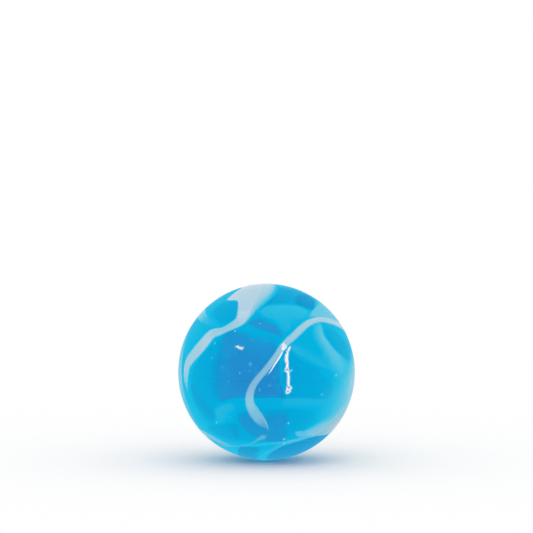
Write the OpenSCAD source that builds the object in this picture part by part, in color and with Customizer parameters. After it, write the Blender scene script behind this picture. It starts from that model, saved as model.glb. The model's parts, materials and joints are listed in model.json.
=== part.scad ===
// A glass playing marble: clear blue glass with ribbons of white glass fused into its skin.
// Origin at the centre of the ball. Front is -Y, up is +Z.
// Places on the ball are [longitude, latitude] in degrees: longitude 0 faces the front and
// grows to the right, latitude grows upwards.

/* [Ball] */
// Diameter of the ball
ball_d = 16; // [12:0.5:42]

/* [White ribbons] */
// Width of a ribbon where its factor is 1
ribbon_w = 1.0; // [0.6:0.05:1.6]
// How far the white glass stands above the blue
ribbon_rise = 0.03; // [0.02:0.005:0.06]
// How deep the white glass reaches into the ball
ribbon_root = 0.6; // [0.3:0.05:1.2]
// Steps between two places of a ribbon's run
ribbon_steps = 3; // [2:1:6]

/* [Crease left by the gather] */
// Length of the crinkled crease
crease_l = 3.4; // [2:0.2:6]
// Width of one wrinkle of the crease
crease_w = 0.34; // [0.2:0.02:0.6]
// Depth of one wrinkle
crease_depth = 0.06; // [0.03:0.01:0.12]
// Sideways wander of the wrinkles
crease_wander = 0.05; // [0:0.01:0.1]
// Length of the loop that ends the crease
crease_loop_l = 0.8; // [0.4:0.05:1.2]

/* [Pit] */
// Width of the small pit
pit_w = 0.6; // [0.3:0.05:1.2]
// Depth of the small pit
pit_depth = 0.09; // [0.04:0.01:0.15]

/* [Hidden] */
$fn = 96;

ball_r = ball_d / 2;
over = 1;                            // how far a ribbon's cutter reaches past the skin
crease_pitch = 0.85 * crease_w;      // neighbouring wrinkles overlap a little
crease_top = [15, 21.5];
crease_loop_share = 0.62;             // width of the loop as a share of its length
pit_at = [-19.3, 22];

// Each ribbon is a run of [longitude, latitude, width factor], from one end to the other.
// It starts low on the left, rises over the top of the ball, goes down the back and comes
// round under the left side, where it ends in a small drop.
crown_run = [
    [-64, -11, 0.10], [-65, -4, 0.85], [-65, 3, 1.20], [-63, 9, 1.30], [-58, 14.5, 1.40],
    [-53, 20, 1.55], [-49.5, 25, 1.55], [-46.5, 28.9, 1.45], [-42.3, 30.6, 1.05],
    [-38, 31.7, 0.85], [-33.6, 33.7, 0.80], [-28.8, 36.4, 0.92], [-25, 39.4, 1.04],
    [-23, 42.6, 1.22], [-21.6, 48.5, 1.66], [-20.6, 54, 2.22], [-19.5, 60, 2.75],
    [-17, 70.5, 2.80], [-30, 83, 2.95], [-151, 83, 2.95], [180, 72, 2.70], [165, 59, 2.20],
    [150, 47, 1.60], [143, 35, 1.20], [141, 22, 0.95], [143, 9, 0.80], [147, -4, 0.70],
    [154, -16, 0.65], [165, -26, 0.65], [180, -33, 0.70], [197, -38, 0.75], [215, -41, 0.80],
    [235, -42, 0.85], [256, -42, 0.90], [275, -42, 0.95], [288, -42.5, 0.95],
    [299, -45, 1.00], [306, -47.4, 1.05], [314, -50, 0.90], [322, -51, 0.55],
    [330, -50.4, 0.36], [340, -48.6, 0.32], [348, -45.4, 0.32], [353, -42.1, 0.45],
    [357, -40.1, 0.55], [360.5, -39.2, 0.12]
];
// The hooked corner of the wide white field at the top.
hook_run = [
    [-20, 68, 2.30], [-36, 66, 2.15], [-48, 64.6, 2.00], [-55.5, 62.6, 1.55],
    [-59.6, 60, 1.00], [-60.6, 57.8, 0.15]
];
// The S-shaped ribbon of the front, which goes round the right side and comes back low,
// where it widens into a patch.
wave_run = [
    [1.5, -33.5, 0.08], [-1.5, -30, 0.85], [-5.5, -25, 1.25], [-9, -20, 1.22],
    [-11, -15, 0.98], [-11, -9, 0.86], [-8.8, -3, 0.75], [-5.3, 2, 0.70], [0, 8, 0.68],
    [5.5, 14.5, 0.70], [10, 20.5, 0.72], [14, 25.5, 0.72], [19, 29.5, 0.72],
    [26.5, 34.3, 0.68], [37, 38.7, 0.66], [50, 40.3, 0.70], [63, 38.3, 0.80],
    [76, 34.6, 0.84], [89, 30, 0.86], [101, 23, 0.82], [110, 12, 0.80], [115, 0, 0.80],
    [116, -12, 0.85], [111, -23, 1.00], [101, -30, 1.30], [89, -34, 1.65], [78, -35, 1.90],
    [68, -35.2, 1.95], [57, -36, 1.75], [46, -36.8, 1.35], [37.5, -37.9, 1.05],
    [31.5, -38.7, 0.80], [27, -37.8, 0.62], [23.6, -36.8, 0.14]
];
// The thin thread that runs on from that patch, low on the right.
thread_run = [
    [60, -39.5, 0.50], [49, -41, 0.42], [40, -42.3, 0.40], [33.5, -43.6, 0.52],
    [26.5, -45.3, 0.54], [18.5, -47.2, 0.52], [13, -50, 0.48], [7.5, -53.8, 0.46],
    [0, -59, 0.42], [-10, -66.5, 0.30]
];
// A finer thread, between the first ribbon's end and the thin thread.
sill_run = [
    [-34, -51.3, 0.30], [-18, -49, 0.28], [-2.5, -47.3, 0.26], [14, -46, 0.22], [23, -45, 0.18]
];
// The ribbon that leaves the first one at its corner and curls down the left side.
shoulder_run = [
    [-47, 36.5, 0.30], [-56, 38, 0.60], [-64, 39.5, 0.85], [-74, 41, 0.95], [-87, 43, 1.00],
    [-100, 43, 1.05], [-113, 39, 1.10], [-124, 31, 1.10], [-131, 20, 1.00], [-132, 8, 0.90],
    [-126, -3, 0.90], [-115, -9, 0.95], [-104, -7, 0.80], [-98, 0, 0.60], [-97, 6, 0.12]
];

// The direction of a place on the ball, as a unit vector.
function place(lon, lat) = [sin(lon) * cos(lat), -cos(lon) * cos(lat), sin(lat)];
function unit(v) = v / norm(v);
// A smooth curve through b and c, led by its neighbours a and d.
function smooth(a, b, c, d, t) =
    0.5 * (2 * b + (c - a) * t + (2 * a - 5 * b + 4 * c - d) * t * t
    + (3 * b - a - 3 * c + d) * t * t * t);
function knots(run) = [for (p = run) concat(place(p[0], p[1]), [p[2]])];
function curve(k, steps) =
    let (last = len(k) - 1)
    concat(
        [for (i = [0 : last - 1], s = [0 : steps - 1])
            smooth(k[max(i - 1, 0)], k[i], k[i + 1], k[min(i + 2, last)], s / steps)],
        [k[last]]
    );
function direction(q) = unit([q[0], q[1], q[2]]);
// The two edges of the ribbon at point i of its curve, as directions from the centre.
function edges(q, i) =
    let (
        here = direction(q[i]),
        ahead = direction(q[min(i + 1, len(q) - 1)]) - direction(q[max(i - 1, 0)]),
        side = unit(cross(here, ahead)),
        half = ribbon_w * q[i][3] / 2 / ball_r * 180 / PI
    )
    [here * cos(half) + side * sin(half), here * cos(half) - side * sin(half)];

// A ribbon's cutter: a wall on each edge, standing square to the skin all along the run.
module ribbon_cutter(run) {
    q = curve(knots(run), ribbon_steps);
    rings = len(q);
    low = ball_r - ribbon_root;
    high = ball_r + over;
    points = [for (i = [0 : rings - 1]) let (e = edges(q, i))
        each [e[0] * low, e[0] * high, e[1] * high, e[1] * low]];
    walls = [for (i = [0 : rings - 2], s = [0 : 3])
        [4 * i + s, 4 * i + 4 + s, 4 * i + 4 + (s + 1) % 4, 4 * i + (s + 1) % 4]];
    ends = [[0, 1, 2, 3], [for (s = [3 : -1 : 0]) 4 * (rings - 1) + s]];
    polyhedron(points, concat(walls, ends));
}

// One white ribbon: the cutter's run of a shell a hair larger than the ball.
module ribbon(run) {
    color("aliceblue")
    intersection() {
        sphere(ball_r + ribbon_rise);
        ribbon_cutter(run);
    }
}

// Moves a thing to a place on the skin, with X to the right, Y upwards and Z outwards.
module on_skin(lon, lat) {
    rotate([90 - lat, 0, lon]) translate([0, 0, ball_r]) children();
}

// A round dish of this width and depth, to be taken out of the skin.
module dish(width, depth) {
    dish_r = (width * width / 4 + depth * depth) / (2 * depth);
    translate([0, 0, dish_r - depth]) sphere(dish_r);
}

// The crease: a row of small overlapping dishes down the front, and the loop at its foot.
module crease() {
    count = floor(crease_l / crease_pitch);
    degree = ball_r * PI / 180;
    for (i = [0 : count - 1]) {
        wander = crease_wander * sin(137 * i);
        on_skin(crease_top[0] + wander / degree, crease_top[1] - i * crease_pitch / degree)
            dish(crease_w, crease_depth);
    }
    on_skin(crease_top[0], crease_top[1] - (crease_l + crease_loop_l / 2) / degree)
        scale([crease_loop_share, 1, 1])
            rotate_extrude() translate([crease_loop_l / 2, 0]) circle(crease_depth);
}

// The pit: a dish with a smaller one at its side.
module pit() {
    on_skin(pit_at[0], pit_at[1]) dish(pit_w, pit_depth);
    on_skin(pit_at[0], pit_at[1]) translate([0.45 * pit_w, -0.1 * pit_w, 0])
        dish(0.5 * pit_w, 0.6 * pit_depth);
}

module marble() {
    difference() {
        union() {
            color("deepskyblue") sphere(ball_r);
            ribbon(crown_run);
            ribbon(hook_run);
            ribbon(wave_run);
            ribbon(thread_run);
            ribbon(sill_run);
            ribbon(shoulder_run);
        }
        color("lightcyan") crease();
        color("lightcyan") pit();
    }
}

marble();
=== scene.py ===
"""A glass playing marble: blue glass, curling white ribbons, milky veils and seed bubbles.

Lengths are in metres, apart from those that are said to be in mm. A place on the ball is a
longitude and a latitude in degrees: longitude 0 faces the front, which is -Y, and grows to
the right; latitude grows upwards.
"""

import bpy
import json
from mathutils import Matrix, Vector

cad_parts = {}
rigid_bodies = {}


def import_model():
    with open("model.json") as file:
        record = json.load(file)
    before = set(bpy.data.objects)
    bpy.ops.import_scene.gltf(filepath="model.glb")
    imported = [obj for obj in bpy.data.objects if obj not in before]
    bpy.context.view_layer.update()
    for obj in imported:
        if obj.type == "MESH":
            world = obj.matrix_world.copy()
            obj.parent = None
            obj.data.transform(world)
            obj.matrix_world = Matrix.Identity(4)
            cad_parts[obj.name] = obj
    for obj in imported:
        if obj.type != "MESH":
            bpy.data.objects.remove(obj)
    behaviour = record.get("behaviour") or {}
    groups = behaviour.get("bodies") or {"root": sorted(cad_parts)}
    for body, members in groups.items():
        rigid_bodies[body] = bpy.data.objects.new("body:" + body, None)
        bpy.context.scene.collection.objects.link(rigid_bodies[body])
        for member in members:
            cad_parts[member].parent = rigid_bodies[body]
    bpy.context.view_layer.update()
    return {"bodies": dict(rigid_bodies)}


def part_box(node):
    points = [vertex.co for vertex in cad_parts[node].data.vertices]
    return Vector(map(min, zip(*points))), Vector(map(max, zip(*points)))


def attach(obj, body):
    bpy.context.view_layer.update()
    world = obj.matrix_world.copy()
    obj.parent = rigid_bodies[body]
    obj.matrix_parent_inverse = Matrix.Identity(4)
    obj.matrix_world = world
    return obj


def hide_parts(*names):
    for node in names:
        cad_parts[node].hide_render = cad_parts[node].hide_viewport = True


bl_info = {
    "name": "Glass marble",
    "version": (1, 0, 0),
    "blender": (4, 5, 0),
    "location": "3D View > Sidebar > Marble",
    "description": "Builds a blue glass marble with white ribbons around its packed solid",
    "category": "Object",
}

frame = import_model()

import json
import math

import bpy
import numpy as np
from bpy.props import FloatProperty, FloatVectorProperty, IntProperty, PointerProperty
from mathutils import Vector

BODY = next(iter(frame["bodies"]))
NODE = "marble"
BALL_R = -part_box(NODE)[0][2]     # the lowest point is bare blue glass
MM = 0.001
WHITE = (1, 1, 1, 1)

# The white ribbons. Each run is a list of places, each [longitude, latitude, width in mm,
# whiteness from 0 to 1], and in some runs then the soft share of each half-width, right-hand
# side first.
CROWN_RUN = [
    [-64, -11, 0.1, 0.06, 0.3, 0.3], [-65, -4, 0.85, 0.4, 0.4, 0.3],
    [-65, 3, 1.2, 0.72, 0.3, 0.25], [-63, 9, 1.3, 0.8, 0.25, 0.2],
    [-57.8, 14.4, 1.36, 0.82, 0.2, 0.3], [-52.7, 19.7, 1.46, 0.88, 0.2, 0.3],
    [-49.1, 24.5, 1.46, 0.9, 0.2, 0.35], [-46.2, 28.3, 1.36, 0.89, 0.25, 0.35],
    [-42.3, 30.6, 1.05, 0.8, 0.25, 0.25], [-38, 31.7, 0.85, 0.74, 0.25, 0.3],
    [-33.6, 33.7, 0.8, 0.7, 0.25, 0.3], [-28.8, 36.4, 0.92, 0.74, 0.25, 0.25],
    [-24.6, 39.2, 1.1, 0.85, 0.25, 0.25], [-22, 42.3, 1.36, 0.91, 0.35, 0.25],
    [-20.4, 48.2, 1.84, 0.95, 0.6, 0.25], [-19.4, 53.8, 2.38, 0.95, 0.8, 0.2],
    [-18.2, 60, 2.88, 0.91, 0.75, 0.2], [-15, 70.5, 3, 0.88, 0.55, 0.2],
    [-30, 83, 2.95, 0.88, 0.4, 0.2], [-151, 83, 2.95, 0.9, 0.4, 0.2],
    [180, 72, 2.7, 0.93, 0.4, 0.3], [165, 59, 2.2, 0.93, 0.3, 0.5], [150, 47, 1.6, 0.92, 0.3, 0.4],
    [143, 35, 1.2, 0.9, 0.2, 0.3], [141, 22, 0.95, 0.86, 0.2, 0.2], [143, 9, 0.8, 0.8, 0.2, 0.3],
    [147, -4, 0.7, 0.72, 0.2, 0.3], [154, -16, 0.65, 0.7, 0.3, 0.2],
    [165, -26, 0.65, 0.72, 0.3, 0.2], [180, -33, 0.7, 0.78, 0.3, 0.2],
    [197, -38, 0.75, 0.84, 0.2, 0.2], [215, -41, 0.8, 0.88, 0.2, 0.3],
    [235, -42, 0.85, 0.84, 0.2, 0.4], [256, -42, 0.9, 0.76, 0.3, 0.4],
    [275, -42, 0.95, 0.64, 0.6, 0.3], [288, -42.6, 1.15, 0.54, 1.1, 0.3],
    [299, -45.6, 1.4, 0.49, 1.3, 0.3], [306, -48.9, 1.36, 0.45, 1.2, 0.3],
    [314, -51.4, 0.96, 0.32, 0.9, 0.3], [322, -51.8, 0.5, 0.17, 0.5, 0.4],
    [330, -51.2, 0.26, 0.12, 0.3, 0.3], [338, -49.6, 0.22, 0.12, 0.3, 0.3],
    [346, -47.2, 0.22, 0.14, 0.3, 0.3], [351.5, -44.2, 0.3, 0.2, 0.3, 0.3],
    [355, -41.8, 0.52, 0.32, 0.4, 0.4], [358, -40.3, 0.58, 0.32, 0.4, 0.4],
    [361, -40, 0.12, 0.1, 0.4, 0.4],
]
WAVE_RUN = [
    [0.5, -32.4, 0.2, 0.04, 0.3, 0.6], [-2.2, -30, 0.8, 0.24, 0.3, 0.6],
    [-5.5, -25.5, 1.22, 0.43, 0.35, 0.4], [-9, -20, 1.22, 0.51, 0.4, 0.5],
    [-11, -15, 0.98, 0.66, 0.4, 0.5], [-11, -9, 0.86, 0.6, 0.35, 0.5],
    [-8.8, -3, 0.75, 0.52, 0.4, 0.5], [-5.3, 2, 0.7, 0.51, 0.4, 0.5],
    [-0.2, 8, 0.66, 0.54, 0.35, 0.5], [5.2, 14.6, 0.66, 0.6, 0.3, 0.45],
    [9.8, 20.6, 0.68, 0.66, 0.3, 0.45], [14.7, 25.4, 0.72, 0.7, 0.4, 0.4],
    [20.1, 29, 0.76, 0.76, 0.45, 0.4], [27, 33.6, 0.78, 0.82, 0.5, 0.4],
    [37.2, 38.3, 0.72, 0.88, 0.45, 0.45], [50, 40.2, 0.7, 0.88, 0.4, 0.45],
    [63, 38.3, 0.8, 0.87, 0.3, 0.3], [76, 34.6, 0.84, 0.88, 0.3, 0.3],
    [89, 30, 0.86, 0.88, 0.3, 0.3], [101, 23, 0.82, 0.86, 0.2, 0.2],
    [110, 12, 0.8, 0.84, 0.2, 0.2], [115, 0, 0.8, 0.84, 0.2, 0.2],
    [116, -12, 0.85, 0.84, 0.2, 0.2], [111, -23, 1.1, 0.82, 0.4, 0.2],
    [101, -29.5, 1.65, 0.82, 0.7, 0.15], [89, -32, 2.3, 0.82, 1, 0.1],
    [78, -32.3, 2.8, 0.86, 1.1, 0.08], [68, -32.2, 2.95, 0.84, 1.2, 0.08],
    [57, -33.4, 2.7, 0.76, 1.3, 0.08], [46, -35, 2.1, 0.66, 1.3, 0.12],
    [37.5, -37.5, 1.34, 0.5, 1.1, 0.25], [31.5, -38.9, 0.92, 0.26, 0.6, 0.35],
    [27, -37.9, 0.72, 0.3, 0.4, 0.4], [23.6, -36.8, 0.14, 0.15, 0.4, 0.4],
]
THREAD_RUN = [
    [60, -39.5, 0.5, 0.42], [49, -41, 0.42, 0.36], [40, -42.3, 0.4, 0.24],
    [33.5, -43.6, 0.52, 0.24], [26.5, -45.3, 0.54, 0.22], [18.5, -47.2, 0.52, 0.16],
    [13, -50, 0.46, 0.12], [7.5, -53.8, 0.42, 0.1], [0, -59, 0.38, 0.08], [-10, -66.5, 0.3, 0.02],
]
TAIL_RUN = [
    [-4, -23, 0.1, 0.05], [-1.8, -25.8, 0.14, 0.4], [-0.2, -29, 0.14, 0.46],
    [0.7, -32.2, 0.13, 0.42], [1.2, -35.6, 0.1, 0.1],
]
SILL_RUN = [
    [-34, -52.3, 0.3, 0.02], [-18, -50, 0.28, 0.08], [-2.5, -48.3, 0.26, 0.12],
    [14, -46.6, 0.22, 0.14], [23, -45, 0.18, 0.08],
]
SHOULDER_RUN = [
    [-38, 34.5, 0.4, 0.01], [-47, 36.5, 0.45, 0.02], [-56, 38, 0.6, 0.04], [-64, 39.5, 0.85, 0.11],
    [-74, 41, 0.95, 0.34], [-87, 43, 1, 0.58], [-100, 43, 1.05, 0.8], [-113, 39, 1.1, 0.9],
    [-124, 31, 1.1, 0.9], [-131, 20, 1, 0.9], [-132, 8, 0.9, 0.86], [-126, -3, 0.9, 0.84],
    [-115, -9, 0.95, 0.8], [-104, -7, 0.8, 0.7], [-98, 0, 0.6, 0.5], [-97, 6, 0.12, 0.2],
]

# The milky veils, by name: runs as those of the ribbons.
FALL_VEIL = [
    [46.5, 38.5, 1.1, 0.14, 1.4, 0.4], [44.5, 35, 1.3, 0.27, 1.5, 0.3],
    [42, 31, 1.6, 0.31, 1.5, 0.25], [41.8, 26.3, 1.65, 0.31, 1.5, 0.22],
    [43.9, 22, 1.75, 0.31, 1.5, 0.22], [47, 15.5, 2.1, 0.3, 1.5, 0.25],
    [51, 10.4, 2.5, 0.29, 1.4, 0.3], [57, 4.5, 3.2, 0.22, 1.3, 0.5], [67, -3, 3.4, 0.03, 1.2, 0.9],
]
BRIM_VEIL = [
    [-6, 46, 0.6, 0.01, 1.5, 0.3], [2, 47.6, 1.8, 0.08, 1.7, 0.15],
    [17, 47.4, 2.15, 0.09, 1.7, 0.12], [31, 46.2, 2.1, 0.09, 1.7, 0.12],
    [40, 44.6, 1.5, 0.07, 1.6, 0.2], [45, 43, 0.5, 0.01, 1.5, 0.3],
]
RIM_VEIL = [
    [-84, 26, 1.6, 0.08, 0.9, 0.9], [-81, 14, 2, 0.3, 0.6, 0.6], [-79, 2, 2.1, 0.4, 0.5, 0.5],
    [-78, -10, 2, 0.36, 0.5, 0.35], [-77, -21, 1.9, 0.26, 0.5, 0.3],
    [-76, -32, 1.8, 0.15, 0.5, 0.3], [-75, -42, 1.4, 0.06, 0.6, 0.4],
]
SPUR_VEIL = [
    [15.5, 24, 0.4, 0.02, 0.3, 1.3], [20, 22.2, 1, 0.1, 0.2, 1.4], [27, 18.8, 1.2, 0.06, 0.2, 1.5],
    [36, 13.8, 1.3, 0.06, 0.25, 1.5], [44, 10, 1.2, 0.06, 0.4, 1.4],
    [50, 7.5, 0.5, 0.01, 0.5, 1.2],
]
LEDGE_VEIL = [
    [9, -13.8, 0.4, 0.02, 1.2, 0.2], [14, -14.6, 1, 0.08, 1.4, 0.1],
    [21, -15.1, 1.1, 0.08, 1.5, 0.1], [29, -15.7, 1.1, 0.07, 1.5, 0.15],
    [39, -16.3, 0.9, 0.05, 1.4, 0.2], [49, -16.4, 0.4, 0.01, 1.2, 0.4],
]
NAPE_VEIL = [
    [196, 58, 0.8, 0.1, 0.8, 0.4], [204, 46, 1.3, 0.3, 0.8, 0.3], [208, 33, 1.6, 0.34, 0.8, 0.3],
    [206, 20, 1.7, 0.32, 0.9, 0.3], [200, 8, 1.6, 0.26, 0.9, 0.3], [198, -6, 1.4, 0.2, 0.9, 0.4],
    [202, -18, 1, 0.08, 0.9, 0.5],
]
HEEL_VEIL = [
    [118, -36, 0.8, 0.05, 0.4, 0.9], [132, -44, 1.6, 0.28, 0.3, 0.9],
    [150, -51, 2.2, 0.36, 0.3, 0.9], [172, -57, 2.4, 0.36, 0.3, 0.9],
    [200, -62, 2.2, 0.3, 0.4, 0.9], [232, -64, 1.6, 0.18, 0.5, 0.9], [258, -62, 1, 0.04, 0.5, 0.9],
]
# Outlines of wide veils and other patches: each place is [longitude, latitude, soft width in mm].
BROW_VEIL = [
    [39, 42.5, 0.8], [44, 46, 0.5], [50.5, 48.2, 0.35], [60, 51, 0.3], [71, 54, 0.5],
    [88, 55, 0.9], [100, 48, 1], [104, 38, 0.9], [96, 31, 0.5], [84, 34, 0.3], [70, 38.5, 0.2],
    [54, 41.5, 0.15],
]
SHORE_VEIL = [
    [34, -12, 6.8], [34, -21, 6.2], [37, -29, 4.5], [44, -36, 2.2], [56, -40, 1.1], [74, -43, 0.9],
    [94, -44, 1], [112, -41, 1.6], [126, -34, 2.2], [136, -23, 2.6], [140, -10, 2.8],
    [137, 3, 2.8], [126, 13, 2.6], [110, 18, 2.4], [92, 19, 2.2], [76, 16, 2.2], [62, 10, 2.8],
    [48, 3, 4.5], [38, -4, 6.2],
]
CHEEK_VEIL = [
    [-36, -17.5, 0.4], [-30, -15.6, 0.3], [-23, -14.6, 0.3], [-20, -17, 0.8], [-25, -23, 1],
    [-32, -29.5, 0.9], [-39, -30.5, 0.6], [-41.5, -25, 0.7], [-39.5, -20, 0.6],
]
# The hooked corner of the wide white field at the top, laid over the first ribbon. Its edge is
# crisp where it lies on that ribbon, because two half-clear films would darken each other.
HOOK_PATCH = [
    [-57, 58, 0.05], [-54, 57.4, 0.08], [-49.5, 57.5, 0.08], [-45, 57.8, 0.1], [-41, 57.9, 0.1],
    [-37.4, 57.3, 0.12], [-34.4, 55.9, 0.12], [-31.5, 53, 0.01], [-27, 49.5, 0.01],
    [-20, 49.5, 0.01], [-16, 55.5, 0.01], [-12, 64, 0.01], [-10, 72, 0.01], [-14, 79, 0.01],
    [-50, 85, 0.01], [-120, 84, 0.01], [-122, 78, 0.1], [-98, 75.5, 0.12], [-75, 72.3, 0.12],
    [-64, 66.5, 0.1], [-60, 61.8, 0.08],
]
LENS_VEIL = [
    [-8, 49.5, 0.4], [3, 54, 0.25], [17, 55, 0.2], [31, 53.5, 0.2], [41, 50, 0.25], [44, 46, 0.4],
    [34, 40, 1.2], [23, 35, 1.3], [14, 29.5, 1], [10.8, 35, 0.5], [4.5, 42, 0.3], [-4, 45, 0.2],
]
# The outlines of the streams of denser blue glass inside the ball, and of the sheets of painted
# shade in front.
# Painted shade: the front sheet, its wedge and its core darken the front for the shaded floor seen
# through the ball.
FRONT_SHADE_SHEET = [
    [-38.5, -17.8, 1], [-36, -16.8, 0.35], [-29, -14.8, 0.1], [-21.5, -13, 0.04],
    [-14.5, -12.6, 0.04], [-7, -12.8, 0.04], [1, -12.6, 0.04], [8, -12.5, 0.05],
    [12.6, -12.1, 0.08], [11.6, -7, 0.1], [10, 0, 0.12], [9.8, 8, 0.15], [10.2, 15, 0.2],
    [11.4, 22, 0.5], [11.5, 27, 1.2], [8.5, 31.5, 1.6], [2, 33.8, 1.8], [-6.5, 35.5, 1.6],
    [-14.5, 36.6, 1.2], [-24, 37, 0.8], [-33.5, 36.5, 0.6], [-40.5, 31.5, 1], [-43, 22, 2.3],
    [-46, 13, 2.4], [-46.5, 4, 2.6], [-46, -4, 2.6], [-43.5, -12, 2.1],
]
FRONT_WEDGE_SHADE = [
    [-17.9, 40.6, 0.2], [-10, 47.4, 0.9], [-2.4, 46.6, 1], [4.7, 44.2, 1], [9.9, 39.4, 0.5],
    [12.4, 30.4, 0.05], [8.4, 31.8, 0.05], [2, 33.6, 0.06], [-6.2, 36, 0.08], [-13, 38.6, 0.12],
]
FRONT_CORE_SHADE = [
    [-28, -9, 0.6], [-18, -11, 0.4], [-8, -11.4, 0.3], [2, -11.4, 0.3], [8, -10.8, 0.3],
    [8.5, -4, 0.6], [8, 6, 0.8], [6, 14, 1], [0, 20, 1.2], [-8, 24, 1.4], [-18, 26, 1.4],
    [-27, 24, 1.3], [-33, 18, 1.3], [-35, 9, 1.4], [-33, 0, 1.4],
]
LEFT_HAZE = [
    [-36, -20, 0.8], [-30, -8, 1], [-28, 6, 1], [-30, 20, 1], [-37, 29, 0.5], [-44, 23, 0.2],
    [-51, 15, 0.2], [-57, 8, 0.2], [-61, -2, 0.2], [-62, -12, 0.3], [-60, -24, 0.4],
    [-54, -35, 0.8], [-44, -32, 0.9],
]
NOOK_STREAM = [
    [-33, 57.5, 0.1], [-46, 58, 0.1], [-58, 57, 0.2], [-66, 53, 0.4], [-66, 46, 0.5],
    [-58, 42.5, 0.4], [-48, 39.5, 0.3], [-38, 38.5, 0.2], [-31, 41, 0.1], [-27, 45, 0.1],
    [-29, 51, 0.1],
]
RIGHT_HAZE = [
    [10.7, -13.6, 0.1], [21.3, -14, 0.08], [32, -15, 0.08], [43.6, -15.8, 0.12], [55, -15.6, 0.3],
    [59.5, -10.5, 0.8], [57, -4, 0.9], [50, 0, 0.9], [44.5, 4, 0.6], [39.5, 8.3, 0.25],
    [34, 10.6, 0.2], [25.3, 15, 0.2], [19.6, 19.5, 0.25], [15, 23, 0.3], [11.8, 17, 0.15],
    [11, 3, 0.15],
]
FOOT_STREAM = [
    [-23, -25, 0.5], [-22, -32, 0.4], [-18, -39.5, 0.4], [-11.6, -44, 0.3], [-4, -46.5, 0.25],
    [3, -48.8, 0.2], [15.5, -47.6, 0.25], [21, -44.5, 0.7], [20, -36, 0.9], [18, -28, 0.5],
    [16, -21, 0.9], [8, -19.5, 1.2], [-2, -19.5, 1.2], [-12, -20.5, 1.2], [-19.5, -21.5, 0.9],
]
FOOT_HAZE = [
    [-36, -36, 1.2], [-30, -27, 1.2], [-24, -21, 1], [-14, -18, 0.8], [3, -18, 0.6],
    [20, -19.5, 0.6], [36, -21.5, 0.8], [44, -27, 1], [40, -36, 1], [30, -44, 0.8], [17, -50, 0.4],
    [-4, -51.5, 0.4], [-24, -51, 0.4], [-36, -46, 0.9],
]
KEEL_STREAM = [
    [-33, -54.4, 0.15], [-22.5, -53.2, 0.25], [-12, -52.2, 0.5], [-3, -53.5, 0.9], [-8, -61, 0.9],
    [-17, -74, 0.6], [-64, -79, 0.6], [-57, -68, 0.15],
]
LOW_STREAM = [
    [-57, -36, 0.2], [-46, -33.6, 0.3], [-38, -31.8, 0.5], [-29, -30, 0.5], [-22, -33, 0.8],
    [-22, -41, 0.8], [-28, -48.5, 0.3], [-36, -50, 0.15], [-46, -46.5, 0.15], [-56, -41, 0.15],
]
SIDE_STREAM = [
    [53, 34.5, 0.1], [61.6, 32.7, 0.3], [71, 28, 0.5], [77, 22, 0.5], [80, 15, 0.4],
    [76, 8.8, 0.2], [71.7, 9.9, 0.1], [64.2, 11.5, 0.1], [56.2, 19, 0.1], [51.5, 26.4, 0.1],
]
BROW_STREAM = [
    [48, 64, 0.2], [64, 66, 0.3], [89, 64, 0.5], [83, 59, 0.3], [77, 55.7, 0.15], [65, 52, 0.1],
    [53.4, 49.2, 0.08], [44.2, 52, 0.12], [36.4, 56.4, 0.25],
]
CROWN_STREAM = [
    [59, 80.5, 0.5], [79, 75, 0.5], [87, 67, 0.5], [85, 58.5, 0.4], [79.5, 55, 0.2],
    [65, 52, 0.15], [54, 50, 0.15], [46, 53.3, 0.2], [35.4, 57, 0.2], [19.3, 58.4, 0.2],
    [3, 57, 0.2], [-5.6, 54, 0.2], [1.7, 61, 0.3], [18.3, 71.4, 0.4],
]
LEFT_STREAM = [
    [-63, -6.6, 0.2], [-57, -4.4, 0.4], [-50, -10.6, 0.5], [-43.7, -19, 0.5], [-40.4, -29.2, 0.4],
    [-46.8, -31.5, 0.4], [-52.8, -25, 0.3], [-59.8, -18.3, 0.2],
]
SOLE_STREAM = [
    [80, -45, 0.3], [66, -44, 0.1], [55, -43.4, 0.06], [41, -45.2, 0.06], [30, -48.2, 0.06],
    [18, -52.5, 0.08], [10, -57.5, 0.1], [2, -65, 0.3], [-6, -75, 0.5], [39, -81, 0.8],
    [72.6, -71.3, 0.8], [82, -58, 0.6],
]
NAPE_STREAM = [
    [150, 24, 0.08], [160, 30, 0.06], [172, 34, 0.1], [184, 40, 0.4], [186, 52, 0.6],
    [176, 60, 0.5], [170, 52, 0.3], [160, 42, 0.15],
]
HIP_STREAM = [
    [-96, 14, 0.5], [-104, 4, 0.4], [-116, 0, 0.08], [-124, 6, 0.06], [-125, 18, 0.08],
    [-118, 28, 0.3], [-106, 32, 0.5], [-97, 26, 0.6],
]
CALF_STREAM = [
    [-142, -6, 0.4], [-150, -14, 0.1], [-160, -24, 0.06], [-158, -32, 0.06], [-140, -36, 0.08],
    [-120, -36, 0.3], [-108, -30, 0.6], [-112, -20, 0.7], [-128, -12, 0.6],
]
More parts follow.
